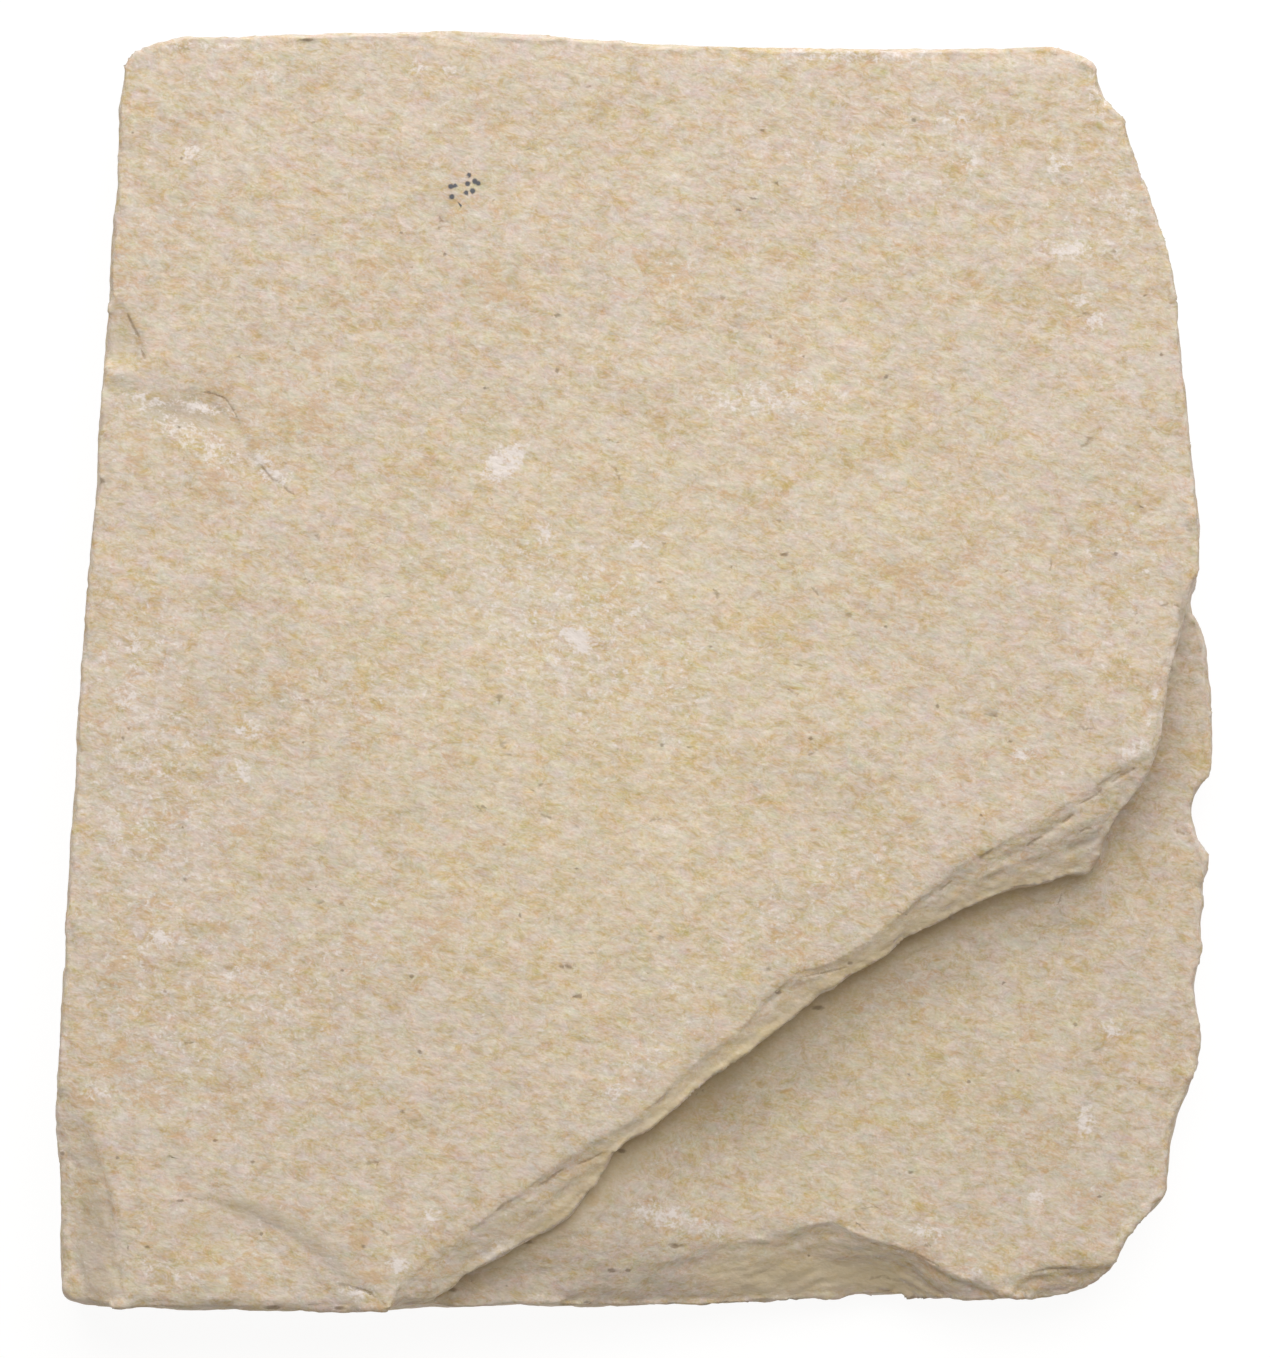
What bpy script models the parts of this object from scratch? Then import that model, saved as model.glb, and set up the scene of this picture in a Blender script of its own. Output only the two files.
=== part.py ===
"""A split slab of pale, fine-grained limestone, modelled as one solid.

The slab is two beds of the same stone. The upper bed covers most of it and ends, towards +X -Y,
in a broken step whose lip overhangs the lower bed, which curves up to it. The underside is one
flat bedding plane at z = 0. Lengths are in millimetres here and become metres when a mesh is
made. +Z is up, and the origin is under the middle of the slab.
"""

import bmesh
import bpy
from mathutils import Vector

MM = 0.001

# Heights, from the underside up.
SAW_DEPTH = 1.5      # stone below z = 0, taken off flat at the end
LOWER_TOP = 8.0      # the lower bed's upper face
UPPER_TOP = 16.0     # the upper bed's upper face
BED_OVERLAP = 0.6    # how far the upper bed reaches into the lower one, to make one solid

# The broken step's face: how its rows of points lie between crest and foot.
LAMINA_SHARE = 0.3   # the thin top layer ends this far from crest to ridge
LAMINA_DROP = 0.45   # how far that layer stands above the face below it
FACE_SLOPE = 0.40    # the face's fall for each unit of its width, crest to lip
RIDGE_FALL = 0.8     # the fall from crest to ridge, as a share of an even slope's
LEAST_FALL = 0.8     # the least and the greatest height from crest to lip
GREATEST_FALL = 4.2
UNDERCUT = 2.6       # how far the foot lies behind the lip at mid-step
END_UNDERCUT = 0.5   # the same at the step's two ends

# The lower bed curves up towards the step's foot: (distance out from the lip, height gained).
RISE_BURIED = -0.3   # it starts this far under the lower bed's face
RISE_DEPTH = 2.0     # and reaches this far down into the bed
RISE = ((9.5, RISE_BURIED), (6.0, 0.25), (3.0, 0.9), (1.0, 1.6), (-1.5, 2.2))
RISE_END_GAIN = 0.6  # how much more it gains at the step's two ends
RISE_LEAST = 0.15    # how much of it there is at its very ends
RISE_GROWTH = 6.0    # and how fast it grows away from them, along its length
RISE_DIRECTION = Vector((0.66, -0.75))
RISE_STATIONS = (9, 46)

# Wall profiles: (height, inset from the outline), top first.
UPPER_WALL = (
    (UPPER_TOP, 0.5),
    (UPPER_TOP - 0.5, 0.0),
    (UPPER_TOP - 2.2, -0.1),
    (LOWER_TOP + 2.0, 0.15),
    (LOWER_TOP - BED_OVERLAP, 0.4),
)
LOWER_WALL = (
    (LOWER_TOP, 0.5),
    (LOWER_TOP - 0.6, 0.0),
    (5.0, -0.15),
    (1.8, 0.4),
    (-SAW_DEPTH, 1.7),
)

# The outline seen from above, clockwise. The upper bed's share runs from the step's end on the
# -Y side, round the three sawn sides, to the step's end on the +X side.
UPPER_EDGE = (
    (-27.2, -70.3), (-38.4, -70.2), (-47.4, -70.1), (-56.4, -69.8), (-62.0, -69.2), (-62.9, -68.4),
    (-63.1, -64.4), (-63.2, -57.7), (-63.4, -52.7), (-63.6, -48.5), (-63.2, -40.6), (-62.5, -27.6),
    (-61.3, -8.6), (-60.6, 3.0), (-59.7, 15.1), (-59.1, 21.4), (-58.6, 30.0), (-58.1, 34.5),
    (-57.5, 43.4), (-56.9, 53.3), (-56.4, 63.2), (-56.0, 66.6), (-55.4, 67.8), (-54.0, 68.6),
    (-49.6, 69.6), (-42.9, 69.7), (-34.0, 70.0), (-25.0, 70.2), (-18.3, 70.3), (-13.8, 70.1),
    (-7.0, 69.6), (-0.4, 69.0), (8.6, 68.6), (22.0, 68.3), (35.4, 68.3), (42.2, 68.5),
    (46.2, 68.5), (49.0, 67.7), (50.3, 66.6), (50.8, 64.2), (51.8, 62.4), (53.5, 60.6),
    (54.1, 58.2), (55.4, 54.9), (57.2, 50.2), (58.6, 46.1), (59.5, 41.6), (59.7, 37.1),
    (60.4, 30.0), (60.9, 24.7), (61.5, 18.3), (61.8, 15.1), (61.8, 10.5),
)
# The lower bed's share: the scalloped break on the +X side, then the -Y side.
LOWER_EDGE = (
    (61.7, 9.1), (61.1, 7.5), (62.0, 5.6), (62.8, 3.2), (63.1, -0.6), (63.5, -4.6), (63.6, -8.6),
    (63.6, -10.7), (63.3, -11.6), (62.7, -12.4), (61.7, -13.7), (61.4, -15.1), (61.4, -16.4),
    (61.8, -18.2), (62.5, -19.3), (63.0, -20.4), (63.0, -21.5), (62.5, -23.8), (62.6, -25.8),
    (62.4, -28.5), (62.5, -30.5), (61.9, -32.7), (61.5, -34.6), (61.7, -36.6), (62.3, -38.8),
    (62.3, -41.1), (61.8, -43.7), (61.0, -46.0), (60.0, -48.2), (59.3, -50.0), (59.0, -52.7),
    (58.6, -54.9), (58.5, -57.0), (58.0, -58.2), (56.3, -60.1), (54.1, -62.9), (53.5, -64.0),
    (52.6, -65.5), (51.1, -66.9), (49.4, -68.0), (46.8, -68.8), (43.6, -69.1), (35.4, -69.1),
    (26.5, -69.1), (17.5, -69.4), (8.6, -69.6), (0.6, -69.8), (-11.4, -69.9), (-23.2, -70.1),
)

# The step, from its +X end to its -Y end: crest, ridge and lip of the broken face.
STEP = (
    ((60.6, 9.1), (60.8, 8.6), (61.0, 7.6)),
    ((59.7, 6.2), (60.0, 6.1), (60.3, 5.8)),
    ((59.0, 2.7), (59.2, 2.6), (59.5, 2.5)),
    ((58.1, -1.3), (58.3, -1.4), (58.6, -1.5)),
    ((57.4, -5.2), (57.6, -5.3), (58.0, -5.6)),
    ((56.8, -7.6), (57.0, -7.9), (57.4, -8.3)),
    ((56.0, -9.3), (56.3, -9.6), (56.6, -10.5)),
    ((54.7, -10.0), (55.5, -11.2), (55.7, -12.9)),
    ((53.1, -10.7), (54.3, -12.9), (54.3, -14.6)),
    ((51.6, -11.7), (52.5, -14.7), (53.0, -16.3)),
    ((50.5, -12.7), (51.3, -15.8), (51.8, -18.2)),
    ((49.4, -13.6), (49.8, -16.2), (51.3, -20.4)),
    ((48.1, -14.5), (48.4, -17.0), (49.8, -22.5)),
    ((46.8, -15.2), (47.0, -18.0), (47.4, -22.6)),
    ((45.0, -16.2), (45.0, -19.1), (45.0, -23.2)),
    ((42.6, -17.5), (42.6, -20.6), (42.4, -23.7)),
    ((40.1, -19.0), (39.9, -21.9), (39.9, -24.5)),
    ((37.7, -20.3), (37.5, -23.3), (37.5, -25.4)),
    ((35.4, -21.6), (35.1, -24.3), (35.0, -26.6)),
    ((33.3, -23.0), (32.8, -25.4), (32.5, -27.9)),
    ((31.4, -24.8), (30.6, -26.9), (30.0, -29.2)),
    ((29.4, -27.0), (28.7, -28.5), (27.9, -30.9)),
    ((27.2, -28.8), (26.5, -30.2), (25.9, -32.1)),
    ((25.0, -30.3), (24.4, -31.8), (23.6, -33.5)),
    ((22.8, -31.7), (22.3, -33.2), (21.7, -34.9)),
    ((20.4, -32.5), (20.0, -34.2), (19.9, -35.7)),
    ((18.3, -32.8), (18.1, -34.9), (18.5, -37.0)),
    ((16.3, -34.6), (16.4, -36.5), (16.6, -38.4)),
    ((14.3, -36.1), (14.6, -38.1), (14.7, -39.8)),
    ((12.8, -38.3), (12.9, -39.8), (13.1, -41.3)),
    ((11.0, -40.2), (11.1, -41.5), (11.3, -42.5)),
    ((8.9, -41.5), (9.0, -42.7), (9.3, -44.1)),
    ((6.8, -42.6), (7.2, -44.2), (7.3, -45.6)),
    ((5.1, -44.5), (5.3, -45.7), (5.4, -47.0)),
    ((3.1, -46.7), (3.3, -47.6), (3.4, -48.7)),
    ((1.2, -48.1), (1.4, -49.2), (1.6, -50.3)),
    ((-0.8, -49.8), (-0.6, -50.7), (-0.3, -51.4)),
    ((-3.2, -51.0), (-2.5, -52.0), (-2.0, -52.7)),
    ((-5.8, -52.2), (-4.7, -53.4), (-3.2, -54.7)),
    ((-8.2, -53.7), (-6.7, -54.9), (-4.2, -56.6)),
    ((-10.4, -55.6), (-8.7, -56.9), (-5.4, -58.1)),
    ((-12.2, -57.5), (-10.4, -58.9), (-6.9, -60.0)),
    ((-14.0, -58.2), (-12.2, -60.2), (-9.5, -61.8)),
    ((-15.3, -59.5), (-14.0, -61.5), (-12.0, -63.0)),
    ((-17.1, -61.0), (-15.9, -63.1), (-14.5, -64.6)),
    ((-19.2, -62.3), (-18.1, -64.2), (-16.7, -65.7)),
    ((-21.3, -63.7), (-20.1, -65.5), (-18.7, -66.5)),
    ((-23.2, -65.3), (-21.8, -66.8), (-19.8, -67.8)),
    ((-25.1, -66.7), (-23.6, -67.9), (-21.3, -68.7)),
    ((-26.2, -68.0), (-24.8, -69.0), (-22.2, -69.5)),
)

# Flakes broken off the beds. Each section of a flake gives its rim on the bed, the hollow's
# deepest line with its drop, and a line outside the flake with the drop that it has there.
SPALL_TOP = 4.0      # how far a flake's own solid stands above the bed that it is cut from
SPALL_RIM = 0.02     # how far its rim lies above the bed, so that the cut starts cleanly
SPALLS_OF_LOWER_BED = {
    "front_break": (
        ((-10.4, -68.3), (-9.9, -69.4), 0.2, (-9.3, -72.3), 1.2),
        ((-1.6, -64.8), (-0.6, -67.9), 0.8, (0.6, -72.3), 3.0),
        ((6.0, -63.3), (7.2, -66.3), 1.2, (8.2, -72.3), 3.7),
        ((13.8, -62.0), (14.3, -65.7), 1.8, (14.8, -72.3), 4.6),
        ((21.2, -60.4), (20.4, -64.8), 2.6, (20.4, -72.3), 5.6),
        ((25.6, -62.4), (25.0, -65.7), 3.1, (24.8, -72.3), 6.8),
        ((31.0, -64.0), (29.7, -66.8), 3.1, (29.1, -72.3), 6.8),
        ((35.4, -66.7), (34.4, -68.1), 1.7, (34.1, -72.3), 5.0),
        ((40.1, -68.1), (39.7, -69.0), 0.8, (39.6, -72.3), 3.0),
        ((41.5, -69.0), (41.5, -69.7), 0.3, (41.5, -72.3), 1.5),
    ),
    "corner_break": (
        ((41.0, -67.9), (41.2, -69.0), 0.3, (41.2, -72.3), 2.0),
        ((44.5, -65.7), (44.8, -67.4), 1.0, (45.1, -72.3), 3.5),
        ((47.9, -65.5), (48.4, -67.2), 1.2, (50.0, -71.2), 3.5),
        ((50.6, -65.2), (51.4, -66.4), 0.9, (53.9, -69.0), 2.8),
        ((53.1, -64.4), (53.8, -65.0), 0.5, (56.6, -66.8), 2.0),
    ),
}
SPALLS_OF_UPPER_BED = {
    "left_corner_facet": (
        ((-62.6, -45.4), (-63.2, -45.7), 0.2, (-66.5, -45.9), 1.2),
        ((-60.8, -48.2), (-62.1, -49.0), 0.5, (-66.5, -49.8), 2.1),
        ((-59.1, -52.7), (-61.0, -53.2), 0.8, (-66.5, -53.6), 2.8),
        ((-57.5, -56.9), (-60.2, -57.5), 1.1, (-66.5, -58.0), 3.2),
        ((-56.4, -59.9), (-59.4, -60.4), 1.2, (-66.5, -61.1), 3.4),
        ((-56.0, -64.6), (-59.1, -64.8), 1.2, (-66.5, -65.2), 3.3),
        ((-55.9, -69.0), (-58.9, -69.0), 1.1, (-66.5, -69.0), 3.1),
        ((-55.8, -73.4), (-58.9, -73.4), 1.0, (-66.5, -73.4), 3.0),
    ),
    "left_scar": (
        ((-58.3, 32.2), (-58.7, 31.4), 0.3, (-60.2, 26.2), 0.0),
        ((-54.5, 31.4), (-54.6, 30.5), 0.3, (-55.9, 25.4), -0.05),
        ((-50.0, 31.0), (-50.2, 30.0), 0.4, (-52.3, 24.4), -0.05),
        ((-46.5, 30.6), (-46.9, 29.6), 0.5, (-49.5, 23.2), -0.05),
        ((-44.8, 29.4), (-45.5, 28.5), 0.5, (-48.0, 22.4), -0.05),
        ((-43.7, 27.6), (-44.4, 26.9), 0.4, (-46.6, 21.6), -0.05),
        ((-41.9, 23.9), (-42.5, 23.2), 0.3, (-44.1, 20.4), -0.05),
        ((-39.6, 21.4), (-40.1, 20.9), 0.2, (-40.8, 19.6), -0.05),
    ),
    "left_flake": (
        ((-56.9, 41.0), (-57.5, 40.6), 0.05, (-60.0, 40.4), 0.1),
        ((-55.8, 39.7), (-56.3, 39.2), 0.35, (-60.5, 38.6), 0.5),
        ((-54.7, 37.1), (-55.3, 36.9), 0.5, (-61.0, 36.0), 0.8),
        ((-53.7, 34.4), (-54.4, 34.6), 0.4, (-61.0, 34.2), 0.7),
        ((-55.8, 33.1), (-56.5, 33.3), 0.15, (-61.0, 32.7), 0.3),
    ),
    "front_flake": (
        ((-51.7, -56.5), (-51.4, -57.3), 0.2, (-52.2, -59.7), -0.05),
        ((-47.3, -56.7), (-47.5, -58.9), 0.35, (-50.0, -62.4), -0.05),
        ((-43.5, -57.8), (-44.3, -60.4), 0.5, (-48.4, -64.8), -0.05),
        ((-39.6, -59.5), (-41.0, -62.2), 0.6, (-46.2, -67.4), 0.0),
        ((-36.3, -61.5), (-38.0, -64.6), 0.6, (-43.5, -69.6), 0.1),
        ((-33.0, -63.7), (-34.9, -67.0), 0.6, (-40.1, -71.8), 0.2),
        ((-30.0, -66.8), (-31.9, -69.2), 0.5, (-34.6, -72.9), 0.3),
        ((-27.2, -70.3), (-28.3, -71.8), 0.5, (-29.1, -73.4), 0.4),
    ),
    "front_chamfer": (
        ((-57.5, -69.4), (-57.5, -69.9), 0.1, (-57.5, -73.0), 2.0),
        ((-52.0, -68.9), (-52.0, -69.5), 0.4, (-52.0, -73.0), 3.2),
        ((-44.5, -69.2), (-44.5, -69.8), 0.5, (-44.5, -73.0), 3.4),
        ((-38.0, -68.9), (-38.0, -69.6), 0.5, (-38.0, -73.0), 3.2),
        ((-31.5, -69.3), (-31.5, -69.9), 0.4, (-31.5, -73.0), 3.2),
        ((-27.5, -69.9), (-27.5, -70.3), 0.1, (-27.5, -73.0), 2.0),
    ),
}

# The natural unevenness of the split and broken faces: (feature size, height).
UNEVENNESS = {"swell": (22.0, 0.55), "ripple": (6.0, 0.35)}
SCULPT_CELL = 0.6    # the voxel size that the slab is worked at
KEPT_SHARE = 0.055   # the share of triangles that the finished solid keeps

STONE_COLOUR = (0.61, 0.50, 0.375, 1.0)
STONE_ROUGHNESS = 0.92


def clear_scene():
    for thing in list(bpy.data.objects):
        bpy.data.objects.remove(thing)


def inset_line(points, distance, closed):
    """The points of a clockwise line moved to its right, which is towards the stone."""
    moved = []
    last = len(points) - 1
    for i, point in enumerate(points):
        before = points[i - 1] if closed or i > 0 else point
        after = points[(i + 1) % len(points)] if closed or i < last else point
        along = (Vector(after) - Vector(before)).normalized()
        moved.append(Vector(point) + distance * Vector((along.y, -along.x)))
    return moved


def at_height(points, height):
    return [Vector((x, y, height)) for x, y in points]


def loft(name, sections, closed_sections=True):
    """A closed mesh object through sections of equal length, with a face over each end."""
    bm = bmesh.new()
    rings = [[bm.verts.new(point * MM) for point in section] for section in sections]
    count = len(rings[0])
    for upper, lower in zip(rings, rings[1:]):
        for i in range(count if closed_sections else count - 1):
            j = (i + 1) % count
            bm.faces.new((upper[i], upper[j], lower[j], lower[i]))
    bm.faces.new(rings[0])
    bm.faces.new(rings[-1])
    bmesh.ops.recalc_face_normals(bm, faces=bm.faces)
    mesh = bpy.data.meshes.new(name)
    bm.to_mesh(mesh)
    bm.free()
    thing = bpy.data.objects.new(name, mesh)
    bpy.context.collection.objects.link(thing)
    return thing


def lower_bed():
    outline = UPPER_EDGE + LOWER_EDGE
    return loft(
        "stone_slab",
        [at_height(inset_line(outline, inset, True), z) for z, inset in LOWER_WALL],
    )


def undercut_at(share):
    """How far the foot lies behind the lip, at a share of the way along the step."""
    middle = 4 * share * (1 - share)
    return END_UNDERCUT + (UNDERCUT - END_UNDERCUT) * middle


def step_rows():
    """The step's face as five rows of points, crest to foot."""
    rows = ([], [], [], [], [])
    lips = [Vector(lip) for crest, ridge, lip in STEP]
    for i, (crest, ridge, lip) in enumerate(STEP):
        crest, ridge, lip = Vector(crest), Vector(ridge), Vector(lip)
        width = (lip - crest).length
        fall = min(max(FACE_SLOPE * width, LEAST_FALL), GREATEST_FALL)
        ridge_share = (ridge - crest).length / width
        ridge_fall = LAMINA_DROP + RIDGE_FALL * (fall - LAMINA_DROP) * ridge_share
        along = (lips[min(i + 1, len(lips) - 1)] - lips[max(i - 1, 0)]).normalized()
        behind = Vector((along.y, -along.x))
        foot = lip + behind * undercut_at(i / (len(lips) - 1))
        rows[0].append(Vector((*crest, UPPER_TOP)))
        rows[1].append(Vector((*crest.lerp(ridge, LAMINA_SHARE), UPPER_TOP - LAMINA_DROP)))
        rows[2].append(Vector((*ridge, UPPER_TOP - ridge_fall)))
        rows[3].append(Vector((*lip, UPPER_TOP - fall)))
        rows[4].append(Vector((*foot, LOWER_TOP - BED_OVERLAP)))
    return rows


def upper_bed():
    sections = []
    for (z, inset), row in zip(UPPER_WALL, step_rows()):
        sections.append(at_height(inset_line(UPPER_EDGE, inset, False), z) + row)
    return loft("upper_bed", sections)


def foot_rise():
    """The part of the lower bed that curves up to the step, between two of its stations."""
    first, last = RISE_STATIONS
    sections = []
    for i in range(first, last + 1):
        lip = Vector(STEP[i][2])
        share = (i - first) / (last - first)
        strength = min(1.0, RISE_LEAST + RISE_GROWTH * min(share, 1.0 - share))
        gain = strength * (1.0 + RISE_END_GAIN * (2.0 * share - 1.0) ** 2)
        section = []
        for out, up in RISE:
            place = lip + RISE_DIRECTION * out * strength
            section.append(Vector((*place, LOWER_TOP + RISE_BURIED + (up - RISE_BURIED) * gain)))
        for end in (section[-1], section[0]):
            section.append(Vector((end.x, end.y, LOWER_TOP - RISE_DEPTH)))
        sections.append(section)
    return loft("foot_rise", sections)


def spall(name, sections, bed_top):
    """The solid that a flake took away: its under face is the scar."""
    rings = []
    for rim, hollow, drop, outside, outside_drop in sections:
        rings.append([
            Vector((*rim, bed_top + SPALL_RIM)),
            Vector((*hollow, bed_top - drop)),
            Vector((*outside, bed_top - outside_drop)),
            Vector((*outside, bed_top + SPALL_TOP)),
            Vector((*rim, bed_top + SPALL_TOP)),
        ])
    return loft(name, rings)


def under_table():
    """Everything below z = 0 that the flat underside is cut with."""
    reach = 100.0
    corners = ((-reach, -reach), (-reach, reach), (reach, reach), (reach, -reach))
    return loft("under_table", [at_height(corners, 0.0), at_height(corners, -20.0)])


def boolean(thing, tool, operation):
    """Adds a Boolean of a tool that isn't a part of the object itself."""
    tool.hide_render = True
    tool.display_type = "WIRE"
    cut = thing.modifiers.new(tool.name, "BOOLEAN")
    cut.object = tool
    cut.operation = operation
    return cut


def add_unevenness(thing, name, feature_size, height):
    clouds = bpy.data.textures.new(name, "CLOUDS")
    clouds.noise_scale = feature_size * MM
    clouds.noise_depth = 2
    displace = thing.modifiers.new(name, "DISPLACE")
    displace.texture = clouds
    displace.texture_coords = "LOCAL"
    displace.strength = height * MM
    displace.mid_level = 0.5


def stone_material():
    material = bpy.data.materials.new("stone")
    material.use_nodes = True
    shader = material.node_tree.nodes["Principled BSDF"]
    shader.inputs["Base Color"].default_value = STONE_COLOUR
    shader.inputs["Roughness"].default_value = STONE_ROUGHNESS
    shader.inputs["Metallic"].default_value = 0.0
    return material


def centre(slab, things):
    """Moves everything together so that the origin is under the middle of the slab."""
    origin = bpy.data.objects.new("slab_origin", None)
    bpy.context.collection.objects.link(origin)
    for thing in things:
        thing.parent = origin
    bpy.context.view_layer.update()
    solid = slab.evaluated_get(bpy.context.evaluated_depsgraph_get())
    xs = [vertex.co.x for vertex in solid.data.vertices]
    ys = [vertex.co.y for vertex in solid.data.vertices]
    origin.location = (-(min(xs) + max(xs)) / 2, -(min(ys) + max(ys)) / 2, 0.0)


def build():
    clear_scene()
    slab = lower_bed()
    tools = []
    for name, sections in SPALLS_OF_LOWER_BED.items():
        tools.append(spall(name, sections, LOWER_TOP))
        boolean(slab, tools[-1], "DIFFERENCE")
    for bed in (foot_rise(), upper_bed()):
        tools.append(bed)
        boolean(slab, bed, "UNION")
    for name, sections in SPALLS_OF_UPPER_BED.items():
        tools.append(spall(name, sections, UPPER_TOP))
        boolean(slab, tools[-1], "DIFFERENCE")
    remesh = slab.modifiers.new("sculpt_cells", "REMESH")
    remesh.mode = "VOXEL"
    remesh.voxel_size = SCULPT_CELL * MM
    for name, (feature_size, height) in UNEVENNESS.items():
        add_unevenness(slab, name, feature_size, height)
    thin = slab.modifiers.new("fewer_faces", "DECIMATE")
    thin.ratio = KEPT_SHARE
    tools.append(under_table())
    boolean(slab, tools[-1], "DIFFERENCE")
    slab.data.materials.append(stone_material())
    centre(slab, [slab, *tools])


build()
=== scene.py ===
import math
import random

import bmesh
import bpy
import numpy as np
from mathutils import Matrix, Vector, noise


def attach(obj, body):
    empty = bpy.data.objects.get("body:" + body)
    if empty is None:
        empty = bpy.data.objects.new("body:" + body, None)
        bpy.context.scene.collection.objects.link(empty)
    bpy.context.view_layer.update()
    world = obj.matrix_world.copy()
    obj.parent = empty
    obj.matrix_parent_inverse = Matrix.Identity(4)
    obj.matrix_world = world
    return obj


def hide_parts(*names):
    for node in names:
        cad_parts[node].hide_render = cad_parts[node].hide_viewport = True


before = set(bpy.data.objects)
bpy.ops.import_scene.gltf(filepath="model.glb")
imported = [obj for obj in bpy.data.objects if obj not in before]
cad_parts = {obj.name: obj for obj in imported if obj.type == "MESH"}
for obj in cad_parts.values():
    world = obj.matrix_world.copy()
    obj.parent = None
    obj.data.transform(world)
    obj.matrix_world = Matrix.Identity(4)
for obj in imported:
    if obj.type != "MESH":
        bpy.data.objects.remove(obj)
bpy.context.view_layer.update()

MM = 0.001
NODE = "stone_slab"

# ---------------------------------------------------------------- the photograph's frame
# The camera looks straight down. Marks and cracks are placed by their pixel in the photograph.

PHOTO_SIZE = (1271, 1358)
MM_PER_PIXEL = 0.11
CENTRE_PIXEL = (635.0, 672.5)
CAMERA_DISTANCE = 2500.0    # mm above the floor
FOCUS_HEIGHT = 12.0         # mm, where a pixel is MM_PER_PIXEL wide


def at_pixel(x, y):
    """The place on the slab, in mm, that a pixel of the photograph shows."""
    return ((x - CENTRE_PIXEL[0]) * MM_PER_PIXEL, (CENTRE_PIXEL[1] - y) * MM_PER_PIXEL)


def line_through(pixels):
    """The broken line on the slab, in mm, through pixels of the photograph."""
    return [at_pixel(*pixel) for pixel in pixels]


# Soft grooves and ridges, worked into the mesh: (pixels along it, half width in mm, height in mm,
# below 0 for a groove).
STROKES = {
    "groove_under_top_layer": (
        ((1140, 766), (1125, 773), (1110, 782), (1100, 790), (1085, 801), (1070, 811)), 0.36, -0.1),
    "second_groove": (
        ((1072, 816), (1055, 826), (1040, 838), (1028, 845), (1000, 862)), 0.36, -0.12),
    "inner_ridge": (((1145, 776), (1125, 800), (1100, 815), (1080, 823), (1058, 836)), 0.8, 0.2),
    "knob_ridge": (((1104, 826), (1098, 838), (1096, 850)), 0.6, 0.15),
    "lower_step_groove": (((545, 1180), (560, 1175), (580, 1163), (615, 1148)), 0.36, -0.08),
    "scar_band": (((150, 405), (170, 411), (200, 418), (222, 426)), 0.9, -0.12),
    "front_crack": (((354, 1286), (366, 1291), (378, 1297)), 0.34, -0.14),
}
# Small sharp drops, with the low side on the right of the way along them: (height in mm, distance
# in mm over which the low side comes back up, pixels along it).
DROPS = {
    "crest_of_step": (0.14, 2.8, (
        (397, 1291), (424, 1266), (460, 1239), (495, 1211), (511, 1200), (541, 1177), (572, 1155),
        (606, 1136), (628, 1124), (646, 1110), (663, 1097), (681, 1078), (697, 1061), (716, 1049),
        (735, 1036), (751, 1019), (768, 1000), (788, 984), (800, 972), (822, 966), (848, 960),
        (870, 944), (895, 922), (915, 902), (930, 892), (956, 871), (978, 857), (1000, 845),
        (1022, 835), (1042, 826), (1060, 807), (1083, 794), (1111, 777), (1139, 760))),
    "left_corner_facet": (0.14, 3.0, (
        (80, 1108), (98, 1152), (108, 1180), (113, 1210), (120, 1245), (123, 1292))),
    "front_chamfer": (0.12, 2.0, (
        (120, 1296), (152, 1301), (186, 1301), (219, 1301), (256, 1303), (270, 1307), (292, 1305),
        (320, 1306), (342, 1308), (362, 1304), (384, 1304))),
    "thumb": (0.16, 2.5, (
        (1006, 1287), (1032, 1274), (1048, 1269), (1067, 1267), (1083, 1270), (1099, 1272),
        (1118, 1262))),
    "front_break": (0.06, 2.5, (
        (742, 1232), (780, 1229), (815, 1229), (840, 1233), (866, 1242), (888, 1247), (914, 1255),
        (939, 1268), (952, 1277), (978, 1281), (997, 1286))),
    "left_scar": (0.07, 2.2, (
        (172, 398), (183, 391), (199, 391), (214, 394), (226, 399), (233, 409), (240, 422),
        (252, 440), (256, 458), (265, 470), (273, 480), (284, 487), (297, 496))),
    "left_flake": (0.12, 2.0, (
        (122, 300), (128, 314), (134, 327), (140, 338), (143, 350), (147, 361))),
    "front_flake": (0.08, 1.6, (
        (178, 1192), (205, 1197), (240, 1205), (262, 1216), (290, 1230), (318, 1250), (352, 1284))),
}
# Where the lower bed comes up beside the step: (height gained in mm, distances in mm at which it
# is all gained, starts to fade and is gone, height in mm above which nothing moves, pixels along
# it).
GAINS = {
    "low_end": (2.5, (0.0, 4.0, 18.0), 14.0, (
        (588, 1200), (572, 1215), (548, 1234), (503, 1260), (465, 1281), (442, 1297))),
    "low_step": (0.4, (0.0, 2.0, 9.0), 13.0, (
        (800, 1016), (778, 1031), (757, 1047), (735, 1064), (712, 1083))),
    "block_foot": (1.1, (5.0, 6.0, 34.0), 12.4, (
        (1150, 760), (1146, 790), (1128, 830), (1112, 862), (1085, 880), (1045, 888),
        (1005, 900), (970, 914), (940, 928))),
}
# The lip of the step, which stands out a little further than the CAD's, by this many mm.
LIP_OVERHANG = 0.35
LIP = (
    (1084, 880), (1062, 882), (1035, 889), (1005, 896), (978, 906), (955, 916), (930, 928),
    (905, 942), (882, 958), (862, 971), (840, 986), (815, 1005), (800, 1016), (778, 1031),
    (757, 1047), (735, 1064), (712, 1083), (690, 1100), (668, 1119), (652, 1133), (632, 1147))
OUT_OF_THE_STEP = (0.66, -0.75)
# The rim of the front flake, which fades into the bed.
FADED_RIM = ((178, 1192), (205, 1196), (240, 1203), (275, 1217), (302, 1233), (336, 1258))

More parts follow.
